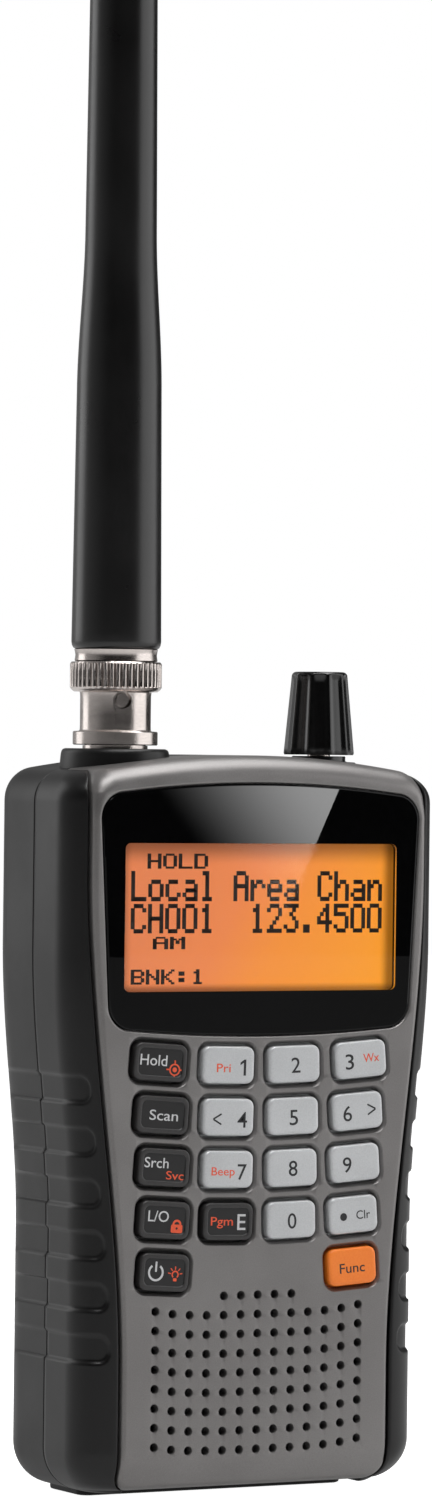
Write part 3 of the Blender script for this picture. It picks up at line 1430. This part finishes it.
    @staticmethod
    def bar(x: float, z: float, width: float, height: float, turn: float = 0.0) -> Array:
        """Draws a bar with rounded ends.

        Args:
            x: its middle, across.
            z: its middle, up.
            width: how wide it is.
            height: how tall it is.
            turn: degrees it is turned anticlockwise.

        Returns:
            Its loop.
        """
        a = np.radians(turn)
        spin = np.array([[np.cos(a), np.sin(a)], [-np.sin(a), np.cos(a)]])
        return rounded_rect(width, height, min(width, height) * 0.3, 3) @ spin + np.array([x, z])

    @staticmethod
    def sweep(x: float, z: float, r: float, half: float, start: float, end: float) -> Array:
        """Draws a curved band.

        Args:
            x: its centre, across.
            z: its centre, up.
            r: its radius.
            half: half its width.
            start: the degrees it starts at.
            end: the degrees it ends at.

        Returns:
            Its loop.
        """
        a = np.radians(np.linspace(start, end, 25))
        ray = np.stack([np.cos(a), np.sin(a)], -1)
        return np.vstack([ray * (r + half), ray[::-1] * (r - half)]) + np.array([x, z])

    def pictograms(self) -> list[tuple[bpy.types.Object, str]]:
        """Returns each pictogram with its key's name: target, padlock, power, lamp, arrows and dot."""
        bar, sweep = self.bar, self.sweep
        at = {name: i for i, name in enumerate(KEYS.names)}
        ring = (circle(0.95, 28, 2.55, -1.0), circle(0.72, 28, 2.55, -1.0))
        ticks = [(bar(2.55 + dx, -1.0 + dz, 0.22 if dx == 0 else 0.5, 0.5 if dx == 0 else 0.22), None)
                 for dx, dz in ((1.2, 0), (-1.2, 0), (0, 1.2), (0, -1.2))]
        target = [ring, (circle(0.38, 20, 2.55, -1.0), None), *ticks]
        lock = [(rounded_rect(2.0, 1.3, 0.25) + np.array([2.2, -1.25]), circle(0.2, 12, 2.2, -1.2)),
                (sweep(2.2, -0.6, 0.6, 0.17, 0, 180), None)]
        power = [(sweep(-1.5, -0.05, 1.2, 0.17, 125, 415), None), (bar(-1.5, 0.85, 0.32, 1.6), None)]
        bulb = [(sweep(1.9, -0.25, 0.52, 0.11, -50, 230), None), (bar(1.9, -1.05, 0.62, 0.5), None)]
        rays = [(bar(1.9 + 1.02 * np.sin(a), -0.25 + 1.02 * np.cos(a), 0.16, 0.5, -np.degrees(a)), None)
                for a in np.radians((-80, -40, 0, 40, 80))]
        left = [(bar(-2.0, -0.3 + s * 0.42, 1.65, 0.26, s * 29), None) for s in (1, -1)]
        right = [(bar(2.45, 0.12 + s * 0.42, 1.65, 0.26, -s * 29), None) for s in (1, -1)]
        wanted = [("hold", "picto_target", target, Look.INK_RED),
                  ("lockout", "picto_padlock", lock, Look.INK_RED),
                  ("power", "picto_power", power, Look.INK_WHITE),
                  ("power", "picto_lamp", [*bulb, *rays], Look.INK_RED),
                  ("1", "numeral_one", [(self.one(), None)], Look.INK_BLACK),
                  ("4", "picto_left", left, Look.INK_BLACK), ("6", "picto_right", right, Look.INK_BLACK),
                  ("clear", "picto_dot", [(circle(0.62, 24, -1.85, -0.2), None)], Look.INK_BLACK)]
        return [(self.pictogram(at[key], name, loops, ink), key) for key, name, loops, ink in wanted]


# ---------------------------------------------------------------- top of the case


@dataclass(frozen=True)
class Controls:
    """Volume knob with its ridges, and the squelch ring under it."""

    x: float = 18.3
    knob_low: float = 116.0
    knob_high: float = 129.2
    foot_r: float = 5.6
    top_r: float = 4.45
    top_edge: float = 0.75
    ridges: int = 10
    ring_low: float = 114.2
    grips: int = 60

    def knob(self) -> bpy.types.Object:
        """Returns the knob: a taper whose radius dips between its ridges, with a shallow dish on top."""
        h = self.knob_high - self.knob_low
        t = np.linspace(0, 1, 12)
        side = np.stack([self.foot_r + (self.top_r - self.foot_r) * t,
                         self.knob_low + 0.25 + (h - 1.05) * t], -1)
        angle = np.radians(np.linspace(0, 90, 7))[1:]
        edge = np.stack([self.top_r - self.top_edge * (1 - np.cos(angle)),
                         self.knob_high - self.top_edge * (1 - np.sin(angle))], -1)
        edge[-1, 1] = self.knob_high
        dish = np.array([[3.0, self.knob_high], [2.6, self.knob_high - 0.12], [1.2, self.knob_high - 0.2],
                         [0, self.knob_high - 0.2]])
        foot = np.array([[0, self.knob_low], [self.foot_r - 0.5, self.knob_low],
                         [self.foot_r - 0.12, self.knob_low]])
        profile = np.vstack([foot, side, edge, dish])

        def dipped(radius: Array, height: Array, turn: Array) -> Array:
            """Takes from the radius a dip that is deepest halfway between two ridges.

            Args:
                radius: the plain radius.
                height: the height.
                turn: the angle about the axis.

            Returns:
                The new radius.
            """
            place = np.abs(((turn - np.radians(-100)) / np.radians(360 / self.ridges)) % 1 - 0.5) * 2
            dip = 0.085 * (1 - smooth((place - 0.25) / 0.75) ** 1.3)
            fade = smooth((self.knob_high - 0.15 - height) / 0.8) * (radius > 3.4)
            return radius * (1 - dip * fade)

        shell = Shell()
        lathe(shell, profile, self.x, 0, 240, shape=dipped)
        return shell.build("knob_cap", [Look.KNOB], 50)

    def ring(self) -> bpy.types.Object:
        """Returns the squelch ring: a flange, a neck with fine grip lines and a bore for the shaft."""
        z = self.ring_low
        profile = np.array([[1.9, z], [5.75, z], [5.9, z + 0.12], [5.9, z + 0.5], [5.72, z + 0.65],
                            [4.5, z + 0.72], [4.25, z + 0.85], [4.25, z + 1.5], [4.15, z + 1.6],
                            [1.9, z + 1.6]])

        def grip(radius: Array, height: Array, turn: Array) -> Array:
            """Returns the radius with shallow waves on the flange's rim."""
            return radius - 0.05 * (1 - np.cos(self.grips * turn)) / 2 * (radius > 5.8)

        shell = Shell()
        lathe(shell, profile, self.x, 0, 240, closed=True, shape=grip)
        return shell.build("squelch_ring_cap", [Look.KNOB], 40)


@dataclass(frozen=True)
class Connector:
    """Bayonet socket on its boss, the knurled coupling sleeve and the rubber antenna."""

    x: float = -18.3
    boss_z: float = 116.6
    sleeve_z: float = 117.15
    lug_z: float = 124.2
    lug_a: float = -106.0
    lock_r: float = 1.38
    lock_turn: float = 85.0
    drop: float = 2.2
    lug_r: float = 1.22
    bore: float = 5.2
    channel_in: float = 4.2
    channel_out: float = 5.53
    flutes: int = 44
    rubber_z: float = 132.13
    rubber_h: float = 150.0

    def boss(self) -> bpy.types.Object:
        """Returns the boss: a short round seat, slightly tapered, with an eased rim."""
        profile = np.array([[0, 112.0], [8.75, 112.0], [8.7, 113.5], [8.5, 115.7], [8.4, 116.15],
                            [8.2, 116.45], [7.8, 116.6], [4.85, 116.6], [4.85, 116.0], [0, 116.0]])
        shell = Shell()
        lathe(shell, profile, self.x, 0, 96)
        return shell.build("antenna_boss_cap", [Look.SHELL], 45)

    def sleeve(self) -> bpy.types.Object:
        """Returns the coupling sleeve: rim, barrel and knurl, with two bayonet channels cut inside."""
        z0 = self.sleeve_z
        k = z0 + 8.75
        profile = np.array([
            [4.9, z0], [6.5, z0], [6.65, z0 + 0.15], [6.65, z0 + 2.0], [6.5, z0 + 2.15], [5.72, z0 + 2.2],
            [5.57, z0 + 2.35], [5.55, z0 + 3.2], [5.55, z0 + 5.0], [5.55, z0 + 7.6], [5.6, k - 0.55],
            [5.8, k - 0.42], [6.55, k - 0.4], [6.95, k - 0.1], [7.18, k + 0.25], [7.2, k + 0.35],
            [7.2, k + 1.5], [7.2, k + 2.8], [7.2, k + 3.85], [7.16, k + 3.98], [6.95, k + 4.25],
            [4.9, k + 4.25]])

        def knurl(radius: Array, height: Array, turn: Array) -> Array:
            """Returns the radius less rounded flutes round the sleeve's upper band."""
            wave = (1 - np.abs(np.cos(self.flutes / 2 * turn))) ** 1.2
            return radius - 0.42 * wave * ((height > k + 0.3) & (height < k + 3.9) & (radius > 7))

        shell = Shell()
        lathe(shell, profile, self.x, 0, 352, closed=True, shape=knurl)
        piece = shell.build("coupling_sleeve_shell", [Look.NICKEL], 40)
        carve(piece, [self.channels(0), self.channels(1), self.channels(2)], 40)
        return piece

    def channels(self, part: int) -> Shell:
        """Makes cutters for the sleeve's wall.

        Each is a loop in the unrolled (angle, height) plane, carried out along the radius.

        Args:
            part: 0 for the ramps, 1 for the entries and 2 for the locking holes.

        Returns:
            The cutter, with both of its halves.
        """
        cutter, mean = Shell(), self.bore
        inner, outer = self.channel_in, self.channel_out
        turn = np.radians(self.lock_turn) * mean
        if part == 0:
            a = np.linspace(0, 1, 18)
            path = np.stack([-a * turn, self.lug_z - self.drop * a], -1)
            lean = np.arctan2(-self.drop, -turn)
            ends = np.linspace(np.pi / 2, -np.pi / 2, 9)[:, None]
            side = np.array([np.cos(lean + np.pi / 2), np.sin(lean + np.pi / 2)]) * self.lug_r
            round_end = self.lug_r * np.hstack([np.cos(lean + ends), np.sin(lean + ends)])
            far, near = path[-1] + round_end, path[0] - round_end
            loop = np.vstack([path[1:-1] + side, far, path[1:-1][::-1] - side, near])
            middle = [path]
        elif part == 1:
            loop = rounded_rect(2 * self.lug_r, 6.5, 0.3) + np.array([-turn, self.lug_z - self.drop - 3.0])
            loop[:, 1] = np.minimum(loop[:, 1], self.lug_z - self.drop)
            middle = [np.stack([np.full(5, -turn), self.lug_z - np.linspace(8.2, 2.4, 5)], -1)]
        else:
            loop, outer, middle = circle(self.lock_r, 28, 0, self.lug_z), 7.0, []
        points, triangles = plate([loop], middle)
        for half in (0.0, 180.0):

            def wrap(flat: Array, radius: float) -> Array:
                """Returns unrolled points on the sleeve at a radius."""
                a = np.radians(self.lug_a + half) + flat[:, 0] / mean
                return np.stack([self.x + radius * np.cos(a), radius * np.sin(a), flat[:, 1]], -1)

            cutter.grid(np.stack([wrap(loop, inner), wrap(loop, outer)]), True)
            cutter.add(wrap(points, inner), triangles)
            cutter.add(wrap(points, outer), triangles)
        return cutter

    def collar(self) -> bpy.types.Object:
        """Returns the plated collar between sleeve and rubber, with its plug below."""
        z = self.rubber_z
        profile = np.array([[1.0, z - 11.0], [3.6, z - 11.0], [3.9, z - 10.6], [3.93, z - 6.2],
                            [4.75, z - 6.1], [4.8, z - 2.0], [6.35, z - 1.9], [6.5, z - 1.78],
                            [6.42, z - 1.3], [6.38, z - 0.9], [6.46, z - 0.4], [6.55, z - 0.05],
                            [6.5, z], [3.4, z], [3.4, z + 13.5], [1.0, z + 13.5]])
        shell = Shell()
        lathe(shell, profile, self.x, 0, 96, closed=True)
        return shell.build("antenna_collar", [Look.NICKEL], 35)

    def radius(self, h: Array) -> Array:
        """Works out the rubber's radius: a grip, an eased neck, then a slow taper.

        Args:
            h: heights above its foot.

        Returns:
            The radii.
        """
        grip = 7.05 - 0.4 * h / 40
        neck = 6.65 - 1.05 * smooth((h - 40) / 26)
        taper = 5.6 - 0.7 * (h - 66) / 84
        return np.where(h < 40, grip, np.where(h < 66, neck, taper))

    def antenna(self) -> bpy.types.Object:
        """Returns the rubber: its radius carried up, a rolled foot and a rounded tip."""
        dome = 3.0
        bend = self.rubber_h - dome
        h = np.concatenate([[1.2], np.arange(2.5, 146.9, 1.5), [bend]])
        side = np.stack([self.radius(h), self.rubber_z + h], -1)
        foot = np.array([[0, 0.02], [5.9, 0.02], [6.45, 0.05], [6.75, 0.25], [6.95, 0.65]])
        foot = foot + np.array([0, self.rubber_z])
        angle = np.radians(np.linspace(0, 90, 9))[1:]
        tip_r = float(self.radius(np.array(bend)))
        tip = np.stack([tip_r - dome + dome * np.cos(angle), self.rubber_z + bend + dome * np.sin(angle)], -1)
        profile = np.vstack([foot, side, tip, [[0, self.rubber_z + self.rubber_h]]])
        shell = Shell()
        lathe(shell, profile, self.x, 0, 72)
        return shell.build("antenna_rubber_skin", [Look.RUBBER], 60)

    def washer(self) -> bpy.types.Object:
        """Returns the plated washer that the socket's barrel stands in."""
        z = self.boss_z
        profile = np.array([[4.82, z - 0.2], [5.1, z - 0.2], [5.1, z + 0.4], [5.02, z + 0.5],
                            [4.82, z + 0.5]])
        shell = Shell()
        lathe(shell, profile, self.x, 0, 96, closed=True)
        return shell.build("barrel_washer", [Look.NICKEL], 35)


@dataclass(frozen=True)
class Fittings:
    """Case screws and the rim of the earphone socket."""

    head_r: float = 1.9
    head_y: float = 12.2

    def screws(self) -> bpy.types.Object:
        """Returns the four screws: shank and domed head, each with a crossed recess."""
        shell = Shell()
        angle = np.linspace(0, 2 * np.pi, 48, endpoint=False)
        cross = np.minimum(np.abs(np.sin(angle)), np.abs(np.cos(angle)))
        for x, z in RearCover().screws:
            rings = []
            for r, y in ((0.0, -7.4), (0.6, -7.4), (1.0, -7.0), (1.0, self.head_y), (1.75, self.head_y),
                         (self.head_r, 12.35), (self.head_r, 13.0), (1.75, 13.3), (1.5, 13.45)):
                rings.append(np.stack([x + r * np.cos(angle), np.full(48, y), z + r * np.sin(angle)], -1))
            reach = np.minimum(1.15, 0.24 / np.maximum(cross, 0.05))
            for scale, y in ((1.05, 13.55), (1.0, 13.52), (0.8, 12.9), (0.0, 12.7)):
                r = reach * scale
                rings.append(np.stack([x + r * np.cos(angle), np.full(48, y), z + r * np.sin(angle)], -1))
            shell.grid(np.stack(rings), True)
        return shell.build("case_screw_heads", [Look.STEEL], 30)

    def earphone(self) -> bpy.types.Object:
        """Returns the earphone socket's rim: a tube with a rolled lip."""
        profile = np.array([[1.8, 101.5], [1.8, 115.2], [1.95, 115.42], [2.2, 115.5], [2.75, 115.5],
                            [2.95, 115.35], [3.0, 115.1], [3.0, 108.6], [2.4, 108.6], [2.4, 101.5]])
        shell = Shell()
        lathe(shell, profile, 0, 4, 48, closed=True)
        return shell.build("earphone_rim", [Look.SHELL], 35)


# ---------------------------------------------------------------- carried-over CAD nodes

NODE_LOOKS: dict[Look, tuple[str, ...]] = {
    Look.FRAME: ("lcd_frame", "battery_tray"),
    Look.DIELECTRIC: ("lcd_backlight", "jack_insulator", "antenna_core"),
    Look.SILICONE: ("keypad_mat",), Look.BOARD: ("keypad_board", "main_board"),
    Look.TIN: ("rf_shield", "usb_socket"), Look.FLEX: ("lcd_flex",),
    Look.CONE: ("speaker_mesh", "speaker_cone", "speaker_frame"), Look.FERRITE: ("speaker_magnet",),
    Look.POT: ("control_pot",),
    Look.NICKEL: ("volume_shaft", "jack_barrel", "jack_nut", "cell_springs", "cell_contacts"),
    Look.GOLD: ("antenna_pin",), Look.WRAP: ("cell_left", "cell_right"),
}


def dress_nodes() -> None:
    """Gives each CAD node that still shows its procedural finish."""
    for look, names in NODE_LOOKS.items():
        for name in names:
            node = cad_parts[name]
            for slot in node.material_slots:
                slot.material = look.material
            LOG.info("%s wears %s", name, look.material.name)


# ---------------------------------------------------------------- studio


@dataclass(frozen=True)
class Lamp:
    """A soft area light: where it stands, its size, power and colour; it faces the receiver."""

    name: str
    at: tuple[float, float, float]
    size: tuple[float, float]
    power: float
    colour: Colour = (1.0, 1.0, 1.0)
    aim: tuple[float, float, float] = (0.0, 0.0, 0.1)

    def build(self) -> None:
        """Adds the light, turned to its aim."""
        data = bpy.data.lights.new(self.name, "AREA")
        data.shape, data.size, data.size_y = "RECTANGLE", *self.size
        data.energy, data.color = self.power, self.colour
        lamp = bpy.data.objects.new(self.name, data)
        bpy.context.scene.collection.objects.link(lamp)
        lamp.location = self.at
        lamp.rotation_mode = "QUATERNION"
        lamp.rotation_quaternion = (Vector(self.at) - Vector(self.aim)).to_track_quat("Z", "Y")


@dataclass(frozen=True)
class Studio:
    """Pale floor, soft lights, a plain sweep of light round them and the camera."""

    lamps: tuple[Lamp, ...] = (
        Lamp("behind_left", (-0.55, 0.70, 0.42), (0.5, 0.75), 1.9),
        Lamp("above", (0.30, -0.05, 0.95), (0.75, 0.45), 5.0),
        Lamp("right", (0.88, -0.43, 0.30), (1.15, 0.9), 5.0),
        Lamp("front", (-0.15, -0.50, 1.20), (0.8, 0.4), 8.0),
    )
    eye: tuple[float, float, float] = (-0.46519, -0.85742, 0.11637)
    floor_r: float = 2600.0

    def floor(self) -> bpy.types.Object:
        """Returns the floor: a pale disc."""
        shell = Shell()
        angle = np.linspace(0, 2 * np.pi, 96, endpoint=False)
        ring = np.stack([self.floor_r * np.cos(angle), self.floor_r * np.sin(angle), np.full(96, -0.02)], -1)
        shell.cap(ring)
        piece = shell.build("floor", [], 30)
        g = Graph("pale_floor")
        tone = g.node("TexNoise", {"Vector": g.place(), "Scale": 9.0, "Detail": 3.0})
        colour = g.ramp(tone, [(0.0, (0.5, 0.5, 0.5)), (1.0, (0.54, 0.54, 0.54))])
        seen = g.node("MapRange", {"Value": g.node("LightPath", {}).outputs["Is Camera Ray"],
                                   "To Min": 0.30, "To Max": 1.0})
        piece.data.materials.append(g.finish(Base_Color=colour, Roughness=0.75, Specular_IOR_Level=0.1,
                                             Emission_Color=(1, 1, 1, 1), Emission_Strength=seen))
        return piece

    def sky(self) -> None:
        """Sets the sweep of light: white to the eye, to all else bright behind and dim in front."""
        world = bpy.data.worlds.new("sweep")
        world.use_nodes = True
        tree = world.node_tree
        tree.nodes.clear()
        new, join = tree.nodes.new, tree.links.new
        out, seen = new("ShaderNodeOutputWorld"), new("ShaderNodeBackground")
        lit, path, mix = new("ShaderNodeBackground"), new("ShaderNodeLightPath"), new("ShaderNodeMixShader")
        where, toward = new("ShaderNodeTexCoord"), new("ShaderNodeVectorMath")
        ramp = new("ShaderNodeMapRange")
        toward.operation = "DOT_PRODUCT"
        toward.inputs[1].default_value = (-0.45, 0.88, 0.15)
        ramp.interpolation_type = "SMOOTHSTEP"
        for socket, value in (("From Min", -0.15), ("From Max", 0.9), ("To Min", 0.006), ("To Max", 0.42)):
            ramp.inputs[socket].default_value = value
        seen.inputs["Strength"].default_value = 1.0
        seen.inputs["Color"].default_value = (1, 1, 1, 1)
        join(where.outputs["Generated"], toward.inputs[0])
        join(toward.outputs["Value"], ramp.inputs["Value"])
        join(ramp.outputs[0], lit.inputs["Strength"])
        join(path.outputs["Is Camera Ray"], mix.inputs[0])
        join(lit.outputs[0], mix.inputs[1])
        join(seen.outputs[0], mix.inputs[2])
        join(mix.outputs[0], out.inputs["Surface"])
        bpy.context.scene.world = world

    def card(self) -> bpy.types.Object:
        """Returns a small glowing card that only reflections see, its edge slanting across the window."""
        eye = Vector(self.eye)
        middle = Vector((0.0107, FORM.face * MM, 0.0955))
        away = (middle - eye).normalized()
        away.y = -away.y
        centre = middle + away * 2.5
        across = Vector((0, 0, 1)).cross(away).normalized()
        up = away.cross(across).normalized()
        shell = Shell()
        corners = [(0.0103, 0.058), (-0.0508, -0.09), (-0.16, -0.09), (-0.16, 0.058)]
        points = np.array([list(centre + across * u + up * v) for u, v in corners]) / MM
        shell.add(points, np.array([[0, 1, 2, 3]]))
        piece = shell.build("glow_card", [], 30)
        piece.modifiers.clear()
        g = Graph("card_glow")
        where = g.node("TexCoord", {})
        lean = across * 0.8 + up * 0.6
        dot = g.node("VectorMath", {0: where.outputs["Object"], 1: tuple(lean)}, operation="DOT_PRODUCT")
        edge = float(centre.dot(lean))
        fade = g.node("MapRange", {"Value": dot.outputs["Value"],
                                   "From Min": edge - 0.045, "From Max": edge + 0.038},
                      interpolation_type="SMOOTHSTEP")
        colour = g.ramp(fade, [(0.0, (0, 0, 0)), (1.0, (1, 1, 1))])
        piece.data.materials.append(g.finish(Base_Color=(0, 0, 0, 1), Specular_IOR_Level=0.0,
                                             Emission_Color=colour, Emission_Strength=17.0))
        piece.visible_camera = piece.visible_diffuse = False
        piece.visible_shadow = piece.visible_transmission = False
        return piece

    def camera(self) -> None:
        """Adds the camera: a long lens, level with the display, to the receiver's left."""
        data = bpy.data.cameras.new("camera")
        data.lens, data.sensor_width, data.sensor_fit = 148.24, 36.0, "AUTO"
        data.clip_start, data.clip_end = 0.05, 20.0
        camera = bpy.data.objects.new("camera", data)
        bpy.context.scene.collection.objects.link(camera)
        right, up = (0.8791, -0.4766, 0.0119), (-0.0106, 0.0055, 0.9999)
        ahead = (0.4766, 0.8791, 0.0002)
        turn = Matrix((right, up, tuple(-c for c in ahead))).transposed()
        camera.matrix_world = Matrix.Translation(self.eye) @ turn.to_4x4()
        bpy.context.scene.camera = camera

    def build(self) -> None:
        """Builds the whole studio."""
        scene = bpy.context.scene
        scene.view_settings.view_transform = "Standard"
        for lamp in self.lamps:
            lamp.build()
        self.sky()
        self.floor()
        self.card()
        self.camera()


def main() -> None:
    """Builds the studio and every sub-assembly, and says what each piece rides on."""
    logging.basicConfig(level=logging.INFO, format="%(name)s: %(message)s")
    Studio().build()
    place_piece(FrontCover().build(), "case", "gunmetal_paint", "front_cover")
    for side, node in ((-1, "rail_left"), (1, "rail_right")):
        place_piece(Rail().build(side), "case", "soft_black", node)
    place_piece(RearCover().build(), "case", "black_shell", "rear_cover")
    place_piece(BatteryDoor().build(), "door", "black_shell", "battery_door")
    place_piece(BatteryDoor().sill(), "case", "black_shell")
    place_piece(Foot().build(), "case", "soft_black", "foot_pad")
    display = Display()
    place_piece(display.border(), "case", "window_gloss", "display_window")
    place_piece(display.pane(), "case", "window_gloss")
    place_piece(display.glow(), "case", "lcd_amber", "lcd_panel")
    place_piece(display.dots(), "case", "lcd_amber")
    keypad = Keypad()
    slots = {Cap.GREY: "key_grey", Cap.DARK: "key_dark", Cap.ORANGE: "key_orange"}
    for i in KEYS.used():
        name, slot = KEYS.names[i], slots[keypad.cap(i)]
        place_piece(keypad.build_cap(i), "button_" + name, slot, "key_" + name)
        legend = keypad.legend(i)
        if legend is not None:
            place_piece(legend, "button_" + name, slot)
    for piece, key in keypad.pictograms():
        place_piece(piece, "button_" + key, slots[keypad.cap(KEYS.names.index(key))])
    controls, connector, fittings = Controls(), Connector(), Fittings()
    place_piece(controls.knob(), "volume", "knob_black", "volume_knob")
    place_piece(controls.ring(), "squelch", "knob_black", "squelch_ring")
    place_piece(connector.boss(), "case", "black_shell", "antenna_boss")
    place_piece(connector.washer(), "case", "nickel")
    place_piece(connector.sleeve(), "coupling", "nickel", "coupling_sleeve")
    place_piece(connector.collar(), "antenna", "nickel", "antenna_plug")
    place_piece(connector.antenna(), "antenna", "antenna_rubber", "antenna_sheath")
    place_piece(fittings.screws(), "case", "screw_steel", "case_screws")
    place_piece(fittings.earphone(), "case", "black_shell", "earphone_socket")
    dress_nodes()


if __name__ == "__main__":
    main()
